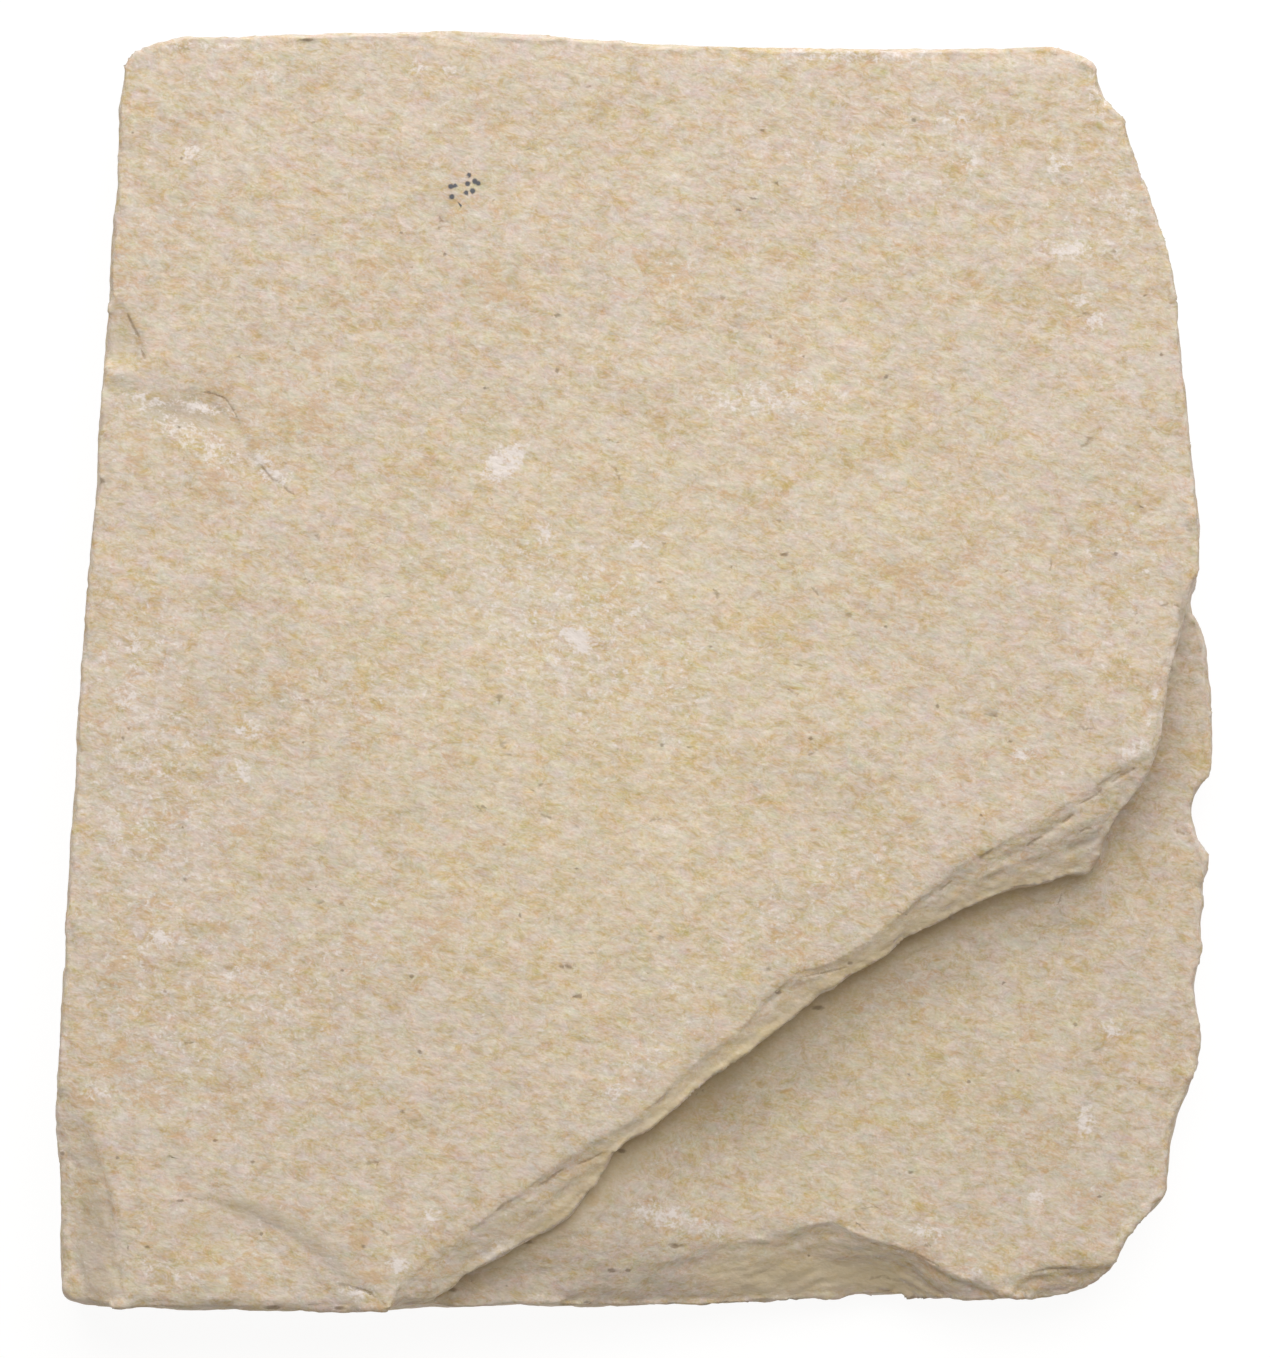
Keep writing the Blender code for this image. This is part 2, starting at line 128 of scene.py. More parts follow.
# Patches of colour: (pixel x, y, half width, half height in pixels, turn in degrees, strength).
CHALK = (
    # small
    (200, 48, 60, 5, 0, 0.45), (261, 75, 14, 6, 0, 0.8), (414, 69, 10, 5, 0, 0.9),
    (447, 73, 8, 5, 0, 1.0), (957, 119, 18, 5, 0, 1.0), (1098, 95, 13, 26, 0, 0.5),
    (194, 155, 10, 8, 0, 1.1), (970, 163, 7, 7, 0, 1.0), (1057, 165, 13, 7, 0, 0.95),
    (1160, 150, 10, 30, 0, 0.3), (1130, 212, 10, 7, 0, 0.6), (1067, 251, 26, 8, 0, 0.95),
    (1080, 302, 9, 9, 0, 0.85), (1096, 322, 8, 11, 0, 0.95), (150, 400, 24, 6, -10, 0.8),
    (205, 408, 30, 7, -12, 0.8), (262, 455, 8, 6, 0, 0.9), (270, 470, 26, 10, -35, 0.7),
    (506, 463, 27, 15, 38, 1.0), (548, 535, 8, 12, 0, 0.9), (639, 543, 10, 4, 0, 1.1),
    (135, 645, 7, 11, 0, 1.15), (579, 639, 15, 8, -45, 1.6), (125, 700, 8, 13, 0, 0.85),
    (1153, 692, 4, 9, 0, 0.8), (120, 770, 10, 40, 0, 0.3), (243, 772, 11, 11, 0, 0.9),
    (250, 730, 14, 8, 0, 1.1), (1023, 755, 10, 6, 0, 0.95), (1134, 752, 15, 7, 30, 0.75),
    (1149, 724, 4, 7, 0, 0.8), (150, 940, 26, 14, 0, 0.4), (163, 938, 10, 7, 0, 1.0),
    (333, 950, 13, 10, 0, 0.5), (375, 903, 9, 7, 0, 0.6), (235, 972, 14, 8, 0, 0.75),
    (680, 990, 16, 12, 0, 0.45), (1112, 1030, 7, 7, 0, 1.05), (96, 1090, 20, 11, 10, 0.6),
    (616, 1091, 9, 9, 0, 0.9), (640, 1120, 12, 6, 40, 0.35), (866, 1095, 8, 6, 0, 0.6),
    (1084, 1124, 7, 18, -5, 1.05), (1039, 1197, 8, 6, 0, 1.15), (431, 1215, 9, 7, 0, 0.9),
    (498, 1250, 18, 8, 28, 1.0), (664, 1216, 32, 13, -12, 0.75), (705, 1228, 22, 9, -20, 0.65),
    (930, 1233, 18, 6, -5, 0.9), (160, 1270, 26, 16, 0, 0.4), (360, 1292, 20, 6, -10, 0.9),
    (400, 1265, 9, 7, 0, 1.1), (978, 1272, 9, 6, 0, 0.8),
    # wide
    (850, 56, 90, 7, 0, 0.55), (900, 150, 160, 60, 0, 0.2), (1105, 215, 40, 55, 0, 0.25),
    (765, 398, 75, 18, 4, 0.5), (205, 445, 62, 16, -30, 0.55), (1120, 560, 40, 120, 0, 0.2),
    (580, 640, 150, 90, -35, 0.34), (330, 690, 120, 30, 0, 0.2), (150, 800, 70, 190, 0, 0.3),
    (800, 900, 120, 36, 33, 0.25), (230, 1010, 130, 90, 0, 0.26), (640, 1060, 60, 22, 40, 0.3),
)
RUST = (
    # small
    (496, 131, 8, 6, 0, 1.3), (668, 267, 8, 6, 0, 1.5), (310, 352, 14, 9, 0, 0.7),
    (555, 386, 6, 5, 0, 0.9), (140, 460, 12, 9, 0, 0.8), (256, 444, 6, 7, 0, 1.2),
    (268, 460, 6, 8, -30, 0.9), (304, 425, 14, 5, 0, 1.4), (590, 452, 3, 10, 20, 0.6),
    (728, 495, 6, 9, 0, 1.4), (835, 590, 14, 9, 0, 0.8), (900, 577, 25, 15, -15, 0.75),
    (600, 625, 20, 9, 10, 0.4), (278, 684, 6, 18, 10, 0.95), (135, 835, 9, 7, 0, 0.9),
    (240, 830, 9, 7, 0, 1.2), (218, 925, 15, 6, 0, 1.2), (118, 964, 9, 6, 0, 1.4),
    (1000, 1035, 10, 7, 0, 0.6), (86, 1098, 12, 6, -10, 1.4), (435, 1134, 8, 6, 0, 0.8),
    (190, 1186, 16, 4, -15, 0.8), (588, 1160, 14, 6, 30, 0.9), (820, 1155, 9, 6, 0, 0.6),
    (150, 1243, 14, 4, 8, 0.8), (303, 1213, 9, 5, -25, 1.1), (358, 1242, 9, 8, 0, 1.2),
    (592, 1201, 7, 5, 0, 1.8), (237, 1278, 10, 7, 0, 1.4), (260, 1262, 14, 5, -15, 0.9),
    (373, 1277, 9, 6, -20, 1.8),
    # wide
    (1010, 470, 30, 18, 0, 0.3), (450, 620, 30, 14, 0, 0.3), (500, 850, 34, 16, 0, 0.3),
    (700, 900, 30, 16, 0, 0.3),
)
# Grey patches: partly the stone's greyer colour on broken facets, and partly painted shade on faces
# turned from the light, beside and under the step's lip and in the narrow strip beside the upper
# bed's edge.
GREY_AND_PAINTED_SHADE = (
    # small
    (310, 42, 10, 3, 0, 1.0), (190, 391, 8, 3, 0, 0.5), (104, 481, 8, 5, 0, 1.0),
    (1180, 605, 4, 34, 0, 0.8), (1105, 838, 9, 20, 0, 0.5), (1080, 848, 18, 9, 10, 0.7),
    (620, 1168, 30, 11, 40, 0.6), (310, 1240, 38, 11, -35, 0.7), (345, 1268, 26, 9, -35, 0.6),
    # wide
    (620, 250, 60, 20, 0, 0.15), (120, 335, 20, 34, 15, 0.5), (900, 300, 50, 24, 0, 0.25),
    (185, 412, 46, 14, -12, 0.9), (250, 470, 40, 16, -40, 0.25), (1040, 868, 60, 14, 20, 0.3),
    (90, 1170, 14, 50, 0, 0.5), (520, 1160, 40, 20, 40, 0.3), (96, 1240, 18, 60, 0, 0.9),
    (200, 1230, 40, 16, -15, 0.35), (255, 1212, 42, 11, -18, 1.0), (480, 1240, 60, 12, 38, 0.5),
    (100, 1285, 22, 20, 0, 0.7), (250, 1304, 150, 7, 0, 0.4), (780, 1284, 50, 14, 0, 1.0),
    (870, 1280, 60, 12, -10, 0.9),
)
# Where the stone is a little lighter and yellower than towards its sides.
MIDDLE = (
    (600, 720, 240, 300, 0, 1.0), (820, 450, 160, 160, 0, 0.6), (880, 1100, 200, 110, 20, 0.8),
)

# Small dark specks: (pixel x, y, half width, half height in pixels).
SPECKS = (
    (308, 41, 5, 1.6), (314, 235, 2, 1.5), (738, 211, 2.2, 2.0), (445, 255, 1.8, 1.8),
    (1145, 297, 2, 2), (557, 316, 5, 1.6), (886, 377, 2, 1.4), (101, 481, 4.5, 3),
    (1141, 506, 2, 2), (784, 555, 4, 1.6), (1115, 554, 2, 2), (937, 706, 2, 2), (1171, 668, 2, 2),
    (124, 738, 2, 2), (662, 745, 2, 2), (483, 806, 2, 1.5), (505, 845, 2, 1.5), (520, 915, 2, 1.5),
    (343, 970, 2, 1.5), (412, 976, 2, 2), (567, 967, 6, 1.4), (580, 996, 6, 1.4),
    (778, 992, 3, 1.8), (818, 1008, 6, 2.4), (850, 963, 2.6, 1.8), (1004, 983, 2, 1.4),
    (420, 1051, 2, 2), (1018, 1070, 2, 2), (1076, 1025, 2, 2), (404, 1111, 2, 2),
    (969, 1082, 2, 2), (63, 1153, 2, 2), (118, 1157, 1.7, 1.7), (253, 1161, 2.4, 1.8),
    (294, 1177, 2, 1.5), (326, 1192, 1.8, 1.6), (622, 1151, 4, 2), (1109, 1142, 2, 1.5),
    (128, 1246, 2.4, 1.4), (148, 1246, 2.4, 1.4), (181, 1200, 3.5, 1.5), (262, 1233, 2.4, 1.6),
    (527, 1242, 6, 2), (675, 1247, 4, 2), (273, 1307, 8, 2.4), (340, 1307, 5, 1.8),
    (452, 1290, 5, 2), (505, 1286, 2.4, 1.6), (587, 1304, 4, 2), (612, 1271, 4, 2),
    (628, 1271, 3, 1.6),
)
# The cluster of dots: (pixel x, y, radius in pixels).
DOTS = (
    (468.8, 176.0, 2.6), (475.0, 182.0, 2.8), (478.5, 184.0, 2.4), (467.9, 184.5, 2.7),
    (451.3, 187.2, 2.7), (455.5, 186.3, 2.0), (472.8, 191.6, 2.8), (466.5, 193.4, 2.4),
    (452.2, 197.4, 2.5), (460.7, 205.9, 1.6),
)
# Thin cracks: (half width in pixels, pixels along it).
CRACKS = (
    (1.5, (128, 314), (134, 327), (140, 338)), (1.3, (142, 350), (146, 360)),
    (0.8, (199, 392), (214, 394), (226, 399), (233, 409), (240, 422)),
    (0.8, (259, 462), (265, 470), (273, 480), (279, 481)),
    (1.2, (608, 463), (615, 469), (619, 477), (620, 483)),
    (0.8, (284, 487), (289, 492), (297, 496)), (1.1, (712, 588), (717, 594), (717, 600)),
    (0.9, (780, 556), (790, 552)), (0.9, (843, 610), (852, 618)),
    (1.0, (497, 686), (500, 696), (499, 706)),
    (1.3, (1134, 768), (1127, 772), (1118, 777), (1110, 783)),
    (1.3, (1042, 836), (1034, 840), (1026, 846)), (1.3, (1073, 813), (1067, 819), (1061, 823)),
    (1.0, (1094, 827), (1084, 829), (1076, 834)),
    (1.1, (1102, 788), (1096, 794), (1088, 799), (1078, 804)),
    (0.9, (952, 880), (944, 886), (938, 892)), (1.3, (992, 849), (985, 854), (978, 858)),
    (0.9, (316, 905), (330, 899)), (0.9, (559, 967), (568, 965), (577, 966)),
    (0.9, (571, 997), (580, 994), (589, 995)), (1.0, (850, 966), (825, 972), (800, 977)),
    (1.2, (537, 1186), (546, 1181), (556, 1173), (564, 1168)),
    (0.9, (577, 1164), (590, 1159), (604, 1151)), (1.4, (496, 1211), (504, 1203), (514, 1199)),
    (1.7, (668, 1245), (676, 1247), (685, 1247)),
    (1.2, (868, 1243), (892, 1248), (917, 1255), (941, 1268)),
    (0.9, (335, 1281), (344, 1284), (352, 1285)), (1.3, (354, 1286), (366, 1290), (378, 1297)),
    (1.3, (858, 1286), (870, 1280), (885, 1278), (902, 1284)),
    (1.1, (1025, 1275), (1048, 1270), (1072, 1269), (1100, 1275)),
)
# Painted warm shade: the stone's colour made yellower and a touch darker where shade falls, along
# the step's lip and on the front break: (half width in pixels, pixels along it).
PAINTED_WARM_SHADE = (
    (17.0, (1100, 872), (1062, 878), (1005, 892), (955, 914), (905, 940), (862, 968), (815, 1002),
     (778, 1029), (735, 1062), (690, 1097), (650, 1130), (619, 1157), (588, 1195), (548, 1230),
     (503, 1258), (447, 1290)),
    (22.0, (700, 1270), (760, 1275), (820, 1272), (880, 1278), (930, 1290)),
)
# Painted shade: a brown dark line just under the step's lip, where the overhang shades the lower
# bed, in the same way.
PAINTED_LIP_SHADE = (
    (4.5, (1084, 880), (1062, 882), (1035, 889), (1005, 896), (978, 907), (955, 917), (930, 929),
     (905, 943), (882, 960), (862, 973), (840, 988), (815, 1007), (800, 1018), (778, 1034),
     (757, 1050), (735, 1067)),
    (4.0, (690, 1102), (668, 1121), (652, 1135), (632, 1149), (619, 1157)),
    (3.0, (609, 1172), (600, 1186), (588, 1203)),
    (4.0, (536, 1243), (524, 1249), (503, 1261)),
    (3.5, (474, 1275), (462, 1285), (447, 1294)),
)


# ---------------------------------------------------------------- mesh tools

def smoothstep(low, high, value):
    t = np.clip((value - low) / (high - low), 0.0, 1.0)
    return t * t * (3.0 - 2.0 * t)


def between(low, full, ending, high, value):
    """1 from full to ending, 0 below low and above high, and smooth between."""
    return smoothstep(low, full, value) * (1.0 - smoothstep(ending, high, value))


def with_modifier(thing, kind, **settings):
    """Adds a modifier, applies it and leaves the object with the new mesh."""
    modifier = thing.modifiers.new(kind.lower(), kind)
    for key, value in settings.items():
        setattr(modifier, key, value)
    graph = bpy.context.evaluated_depsgraph_get()
    mesh = bpy.data.meshes.new_from_object(thing.evaluated_get(graph))
    thing.modifiers.clear()
    thing.data = mesh


def points_of(mesh):
    flat = np.empty(len(mesh.vertices) * 3)
    mesh.vertices.foreach_get("co", flat)
    return flat.reshape(-1, 3) / MM


def normals_of(mesh):
    flat = np.empty(len(mesh.vertices) * 3)
    mesh.vertices.foreach_get("normal", flat)
    return flat.reshape(-1, 3)


def set_points(mesh, points):
    mesh.vertices.foreach_set("co", (points * MM).ravel())
    mesh.update()


def fractal(points, size, octaves=3, seed=0.0, stretch=(1.0, 1.0, 1.0)):
    """Fractal noise of about -1 to 1 at points in mm, with features of the given size in mm."""
    scaled = points / (np.array(stretch) * size) + seed * 17.31
    return np.array([noise.fractal(p, 0.8, 2.0, octaves) for p in scaled])


def waves(points, parts):
    """The sum of fractal noises: (height in mm, size in mm, octaves, seed, stretch) for each."""
    return sum(height * fractal(points, *settings) for height, *settings in parts)


def layers_at(levels, thickness, place):
    """Smooth noise of about -1 to 1 that changes from layer to layer of the given thickness."""
    return np.array([noise.noise(Vector((*place, level))) for level in levels / thickness])


def neighbour_mean(mesh, values, rounds):
    """Values at the vertices after each has been averaged with its neighbours a few times."""
    pairs = np.empty(len(mesh.edges) * 2, dtype=np.int32)
    mesh.edges.foreach_get("vertices", pairs)
    a, b = pairs.reshape(-1, 2).T
    count = len(mesh.vertices)
    degree = np.bincount(a, minlength=count) + np.bincount(b, minlength=count)
    for _ in range(rounds):
        total = values + sum(
            np.stack([np.bincount(i, values[j, k], count) for k in range(values.shape[1])], axis=1)
            for i, j in ((a, b), (b, a)))
        values = total / (degree + 1)[:, None]
    return values


def distance_to_line(points, line):
    """Distance in the plan view from points to a broken line, the share of it passed, and the
    side of it: 1 on the right and -1 on the left of the way along it."""
    best = np.full(len(points), 1e9)
    share = np.zeros(len(points))
    side = np.ones(len(points))
    steps = list(zip(line, line[1:]))
    for i, (start, end) in enumerate(steps):
        start, end = np.array(start), np.array(end)
        along = end - start
        t = np.clip((points[:, :2] - start) @ along / (along @ along), 0.0, 1.0)
        gap = np.linalg.norm(points[:, :2] - start - t[:, None] * along, axis=1)
        nearer = gap < best
        best[nearer] = gap[nearer]
        share[nearer] = (i + t[nearer]) / len(steps)
        side[nearer] = np.sign((points[nearer, :2] - start) @ np.array((along[1], -along[0])))
    return best, share, side


# ---------------------------------------------------------------- the slab's shape

CELL = 0.36                # mm, the size of the cells that the slab is sculpted in
TRIANGLE_LIMIT = 158000    # before the mesh is made finer at the marks
UNDERSIDE_SHARE = 0.01     # the share of the flat underside's triangles that is kept
# The underside and its flat part: (height in mm, normal's z) that both are below.
UNDERSIDE = (0.4, -0.6)
FLAT_UNDERSIDE = (0.3, -0.9)

FACET_ROUNDS = 14          # of averaging, enough to smooth out the facets of the CAD solid
EDGE_ROUNDS = 2            # of averaging, to find what stands out at a sharp edge
RIM_ROUNDS = 40            # of averaging, to let a rim fade
TILT_ROUNDS = 6            # of averaging, to find how steep a face is as a whole
EDGE_OFFSETS = (0.06, 0.16)     # mm that smoothing moves the surface by where it has an edge
CONVEX_OFFSETS = (0.08, 0.3)    # and the same where the edge is a convex one
SHARPENING = 0.4           # how far sharp edges are drawn out again
RIM_SHARPENING = 0.8       # how much further, off the step's face
EDGE_FILL = 1.2            # how far rounded rims are pushed out again
FADING = 0.9               # how much of the faded rim goes
FADING_WIDTH = (1.5, 4.0)  # mm, the distance at which the fading lessens and ends

# Heights in mm at which a part starts, is full, starts to end and ends.
STEP_FACE = (9.0, 10.0, 15.0, 15.4)
LIP_HEIGHTS = (9.9, 10.6, 15.0, 15.8)
LOWER_BED = (5.0, 8.0, 8.6)     # its end depends on the place
LOWER_FACE_TOP = (7.0, 7.8)     # where the broken faces below the lower bed start to end and end
UPPER_BED = 12.0                # above all of the lower bed
LOWEST_STROKE = 4.0
LOWEST_DROP = 2.5
# How far up a face looks, from 0 for a wall to 1 for the top: where broken faces start, are full,
# start to end and end, and where walls start to end and end.
BROKEN_TILT = (0.15, 0.45, 0.93, 0.985)
WALL_TILT = (0.3, 0.6)

STROKE_WAVER = 0.25        # how far the STROKES waver, in their half widths
DROP_WAVER = 0.12          # mm
DROP_EDGE = (-0.15, 0.2, 0.4)   # mm from a drop's line, where it starts, is full and starts to end
LIP_REACH = (0.4, 2.2)     # mm from the lip's line, where the shift starts to end and ends
LIP_ENDS = 0.1             # the share of the lip over which the shift grows at each end
LAYER = 0.9                # mm, the thickness of the layers that stand back in the walls
LAMINA = 0.42              # mm, the thickness of the finer layers on broken faces

# Waves in the surface: (height in mm, size in mm, octaves, seed, stretch).
SURFACE_WAVES = (
    (0.07, 9.0, 2, 4.0, (1.0, 1.0, 1.0)),
    (0.04, 2.6, 2, 5.0, (1.5, 1.0, 1.0)),
    (0.022, 0.9, 1, 3.0, (1.4, 1.0, 1.0)),
)
BROKEN_WAVES = (
    (0.10, 2.4, 3, 7.0, (2.2, 1.0, 0.6)),
    (0.06, 0.8, 2, 8.0, (1.0, 1.0, 1.0)),
)


def sculpt(slab):
    with_modifier(slab, "REMESH", mode="VOXEL", voxel_size=CELL * MM)
    mesh = slab.data
    p, n = points_of(mesh), normals_of(mesh)
    height_limit, facing = UNDERSIDE
    under = (p[:, 2] < height_limit) & (n[:, 2] < facing)
    p[~under] = edges_restored(mesh, p, n)[~under]
    p += rim_fading(mesh, p)
    p = p + n * np.where(under, 0.0, relief(mesh, p, n))[:, None]
    p[:, 2] += bed_gains(p) + sharp_drops(p)
    p[:, :2] += lip_shift(p)
    set_points(mesh, p)


def edges_restored(mesh, p, n):
    """Points with the CAD solid's facets smoothed out and its edges sharpened and filled out."""
    smooth = neighbour_mean(mesh, p, FACET_ROUNDS)
    off = np.einsum("ij,ij->i", smooth - p, n)
    edge = smoothstep(*EDGE_OFFSETS, np.abs(off))
    close = neighbour_mean(mesh, p, EDGE_ROUNDS)
    rim = 1.0 - between(*STEP_FACE, p[:, 2])
    convex = rim * smoothstep(*CONVEX_OFFSETS, -off)
    sharpening = edge * (SHARPENING + RIM_SHARPENING * rim)
    return (p + n * (off * (1.0 - edge))[:, None] + (p - close) * sharpening[:, None]
            + (p - smooth) * (EDGE_FILL * convex)[:, None])


def rim_fading(mesh, p):
    """How far points move where a rim fades into the bed."""
    gap, _, _ = distance_to_line(p, line_through(FADED_RIM))
    faded = FADING * (1.0 - smoothstep(*FADING_WIDTH, gap)) * (p[:, 2] > UPPER_BED)
    return (neighbour_mean(mesh, p, RIM_ROUNDS) - p) * faded[:, None]


def relief(mesh, p, n):
    """How far the surface stands out, in waves, on rough broken faces and at the STROKES, which
    fade at their ends."""
    broad = neighbour_mean(mesh, n, TILT_ROUNDS)
    tilt = broad[:, 2] / np.linalg.norm(broad, axis=1)
    broken = between(*BROKEN_TILT, tilt)
    wall = 1.0 - smoothstep(*WALL_TILT, np.abs(tilt))
    move = waves(p, SURFACE_WAVES)
    rough = (broken + wall) > 0.01
    q = p[rough]
    layered = wall[rough] + 0.5 * broken[rough] * (1.0 - smoothstep(*LOWER_FACE_TOP, q[:, 2]))
    move[rough] += (layered * bedding_relief(q)
                    + broken[rough] * (waves(q, BROKEN_WAVES) + lamina_relief(q)))
    for pixels, half_width, height in STROKES.values():
        line = line_through(pixels)
        near = near_line(p, line, 3.0 * half_width, LOWEST_STROKE)
        gap, share, _ = distance_to_line(p[near], line)
        gap += STROKE_WAVER * half_width * fractal(p[near], 1.0, 2, 9.0)
        ends = np.minimum(1.0, 6.0 * np.minimum(share, 1.0 - share) + 0.25)
        move[near] += height * ends * np.exp(-(gap / half_width) ** 2)
    return move


def bedding_relief(p):
    """How far broken side faces stand out, layer by layer, with rough breaks and chips."""
    warp = 0.9 * fractal(p, 16.0, 2, 1.0)
    layers = np.tanh(3.0 * layers_at(p[:, 2] + warp, LAYER, (0.0, 3.3)))
    rough = fractal(p, 3.2, 3, 2.0, (1.0, 1.0, 0.5))
    chips = smoothstep(0.35, 0.8, fractal(p, 5.0, 2, 6.0))
    return -0.06 + 0.14 * layers + 0.16 * rough - 0.35 * chips


def lamina_relief(p):
    """The thin layers' edges on the sloping broken faces, here clear and there worn away."""
    warp = 0.5 * fractal(p, 7.0, 2, 21.0)
    layers = np.tanh(4.0 * layers_at(p[:, 2] + warp, LAMINA, (5.1, 0.0)))
    clear = smoothstep(-0.25, 0.35, fractal(p, 3.5, 2, 22.0))
    return 0.11 * layers * clear


def near_line(p, line, reach, lowest):
    """The points above a height that may be within reach of a line in the plan view."""
    line = np.array(line)
    inside = (p[:, :2] > line.min(axis=0) - reach) & (p[:, :2] < line.max(axis=0) + reach)
    return np.nonzero(np.all(inside, axis=1) & (p[:, 2] > lowest))[0]


def sharp_drops(p):
    """How far the surface drops beside the DROPS, which waver a little and fade at their ends."""
    drop = np.zeros(len(p))
    for height, fade, pixels in DROPS.values():
        line = line_through(pixels)
        near = near_line(p, line, fade, LOWEST_DROP)
        gap, share, side = distance_to_line(p[near], line)
        out = gap * side + DROP_WAVER * fractal(p[near], 1.1, 2, 15.0)
        ends = np.minimum(1.0, 10.0 * np.minimum(share, 1.0 - share) + 0.1)
        drop[near] -= height * ends * between(*DROP_EDGE, fade, out)
    return drop


def bed_gains(p):
    """How far the lower bed comes up at the GAINS."""
    gain = np.zeros(len(p))
    for height, (full, fading, gone), top, pixels in GAINS.values():
        line = line_through(pixels)
        near = near_line(p, line, gone, LOWER_BED[0])
        gap = distance_to_line(p[near], line)[0]
        free = between(*LOWER_BED, top, p[near, 2])
        rising = smoothstep(-1.5 * full - 0.1, full, gap)
        gain[near] += height * rising * (1.0 - smoothstep(fading, gone, gap)) * free
    return gain


def lip_shift(p):
    """How far points at the step's lip stand out further."""
    line = line_through(LIP)
    near = near_line(p, line, 3.0, LIP_HEIGHTS[0])
    gap, share, _ = distance_to_line(p[near], line)
    ends = smoothstep(0.0, LIP_ENDS, np.minimum(share, 1.0 - share))
    high = between(*LIP_HEIGHTS, p[near, 2])
    shift = np.zeros(len(p))
    shift[near] = LIP_OVERHANG * ends * high * (1.0 - smoothstep(*LIP_REACH, gap))
    return shift[:, None] * OUT_OF_THE_STEP


def thin(slab):
    """Few triangles on the flat underside, then as many elsewhere as the limit allows."""
    group = slab.vertex_groups.new(name="underside")
    p, n = points_of(slab.data), normals_of(slab.data)
    height_limit, facing = FLAT_UNDERSIDE
    flat = np.nonzero((p[:, 2] < height_limit) & (n[:, 2] < facing))[0]
    group.add(flat.tolist(), 1.0, "REPLACE")
    share = len(flat) / len(p)
    with_modifier(slab, "DECIMATE", ratio=1.0 - share * (1.0 - UNDERSIDE_SHARE),
                  vertex_group="underside", vertex_group_factor=100.0)
    slab.vertex_groups.clear()
    triangles = sum(len(f.vertices) - 2 for f in slab.data.polygons)
    if triangles > TRIANGLE_LIMIT:
        with_modifier(slab, "DECIMATE", ratio=TRIANGLE_LIMIT / triangles)


# ---------------------------------------------------------------- small dark marks

FAR = 3.0               # how far from a mark, in its own half widths, distances are kept
MARK_EDGE = 0.21        # mm, the length that edges near a mark are cut down to
MARK_REACH = 1.7        # how near an edge has to be for that, in the mark's half widths
MARK_ROUNDS = 3         # how often edges are cut
CRACK_DEPTH = 0.06      # mm
RANDOM_CRACKS = 90
RANDOM_SPECKS = 45
STREWN_ACROSS = (90, 1190)    # pixels, from left to right
STREWN_DOWN = (60, 1270)      # pixels, from top to bottom
CRACK_TURN = 38               # degrees from level, as a spread
CRACK_HALF_LENGTH = (5, 12)   # pixels
CRACK_BOW = 3.5               # pixels, at most
CRACK_HALF_WIDTH = (0.5, 0.9)    # pixels
SPECK_HALF_WIDTH = (1.2, 2.2)    # pixels
SPECK_HALF_HEIGHT = (1.0, 1.8)   # pixels


def random_marks():
    """More short cracks and specks, strewn over the slab, in the form of CRACKS and SPECKS."""
    draw = random.Random(11)
    cracks = []
    for _ in range(RANDOM_CRACKS):
        middle = Vector((draw.uniform(*STREWN_ACROSS), draw.uniform(*STREWN_DOWN)))
        turn = math.radians(draw.gauss(0, CRACK_TURN))
        half = draw.uniform(*CRACK_HALF_LENGTH) * Vector((math.cos(turn), math.sin(turn)))
        bow = draw.uniform(-CRACK_BOW, CRACK_BOW) * Vector((-half.y, half.x)).normalized()
        line = [middle + half * t + bow * (1 - t * t) for t in (-1.0, -0.5, 0.0, 0.5, 1.0)]
        cracks.append((draw.uniform(*CRACK_HALF_WIDTH), *[tuple(pixel) for pixel in line]))
    ranges = (STREWN_ACROSS, STREWN_DOWN, SPECK_HALF_WIDTH, SPECK_HALF_HEIGHT)
    specks = [tuple(draw.uniform(*ends) for ends in ranges) for _ in range(RANDOM_SPECKS)]
    return cracks, specks


def nearness_to_spots(p, spots):
    """Distance in the plan view from points to the nearest spot, where 1 is the spot's edge."""
    nearest = np.full(len(p), FAR)
    for x, y, half_width, half_height in spots:
        centre = np.array(at_pixel(x, y))
        size = np.array((half_width, half_height)) * MM_PER_PIXEL
        close = points_within(p, centre, FAR * size)
        away = (p[close, :2] - centre) / size
        nearest[close] = np.minimum(nearest[close], np.hypot(away[:, 0], away[:, 1]))
    return nearest


def nearness_to_lines(p, lines):
    """The same for lines, which taper towards their ends."""
    nearest = np.full(len(p), FAR)
    for half_width, *pixels in lines:
        line = np.array(line_through(pixels))
        reach = FAR * half_width * MM_PER_PIXEL
        middle = (line.min(axis=0) + line.max(axis=0)) / 2
        close = points_within(p, middle, line.max(axis=0) - middle + reach)
        gap, share, _ = distance_to_line(p[close], line)
        near = gap / (half_width * MM_PER_PIXEL) + np.abs(2.0 * share - 1.0) ** 6
        nearest[close] = np.minimum(nearest[close], near)
    return nearest


def points_within(p, centre, reach):
    away = np.abs(p[:, :2] - centre)
    return np.nonzero(np.all(away < reach, axis=1))[0]


def all_marks(p):
    """How near points are to each kind of small dark mark."""
    cracks, specks = random_marks()
    return {
        "specks": nearness_to_spots(p, [*SPECKS, *specks]),
        "dots": nearness_to_spots(p, [(x, y, r, r) for x, y, r in DOTS]),
        "cracks": nearness_to_lines(p, [*CRACKS, *cracks]),
    }


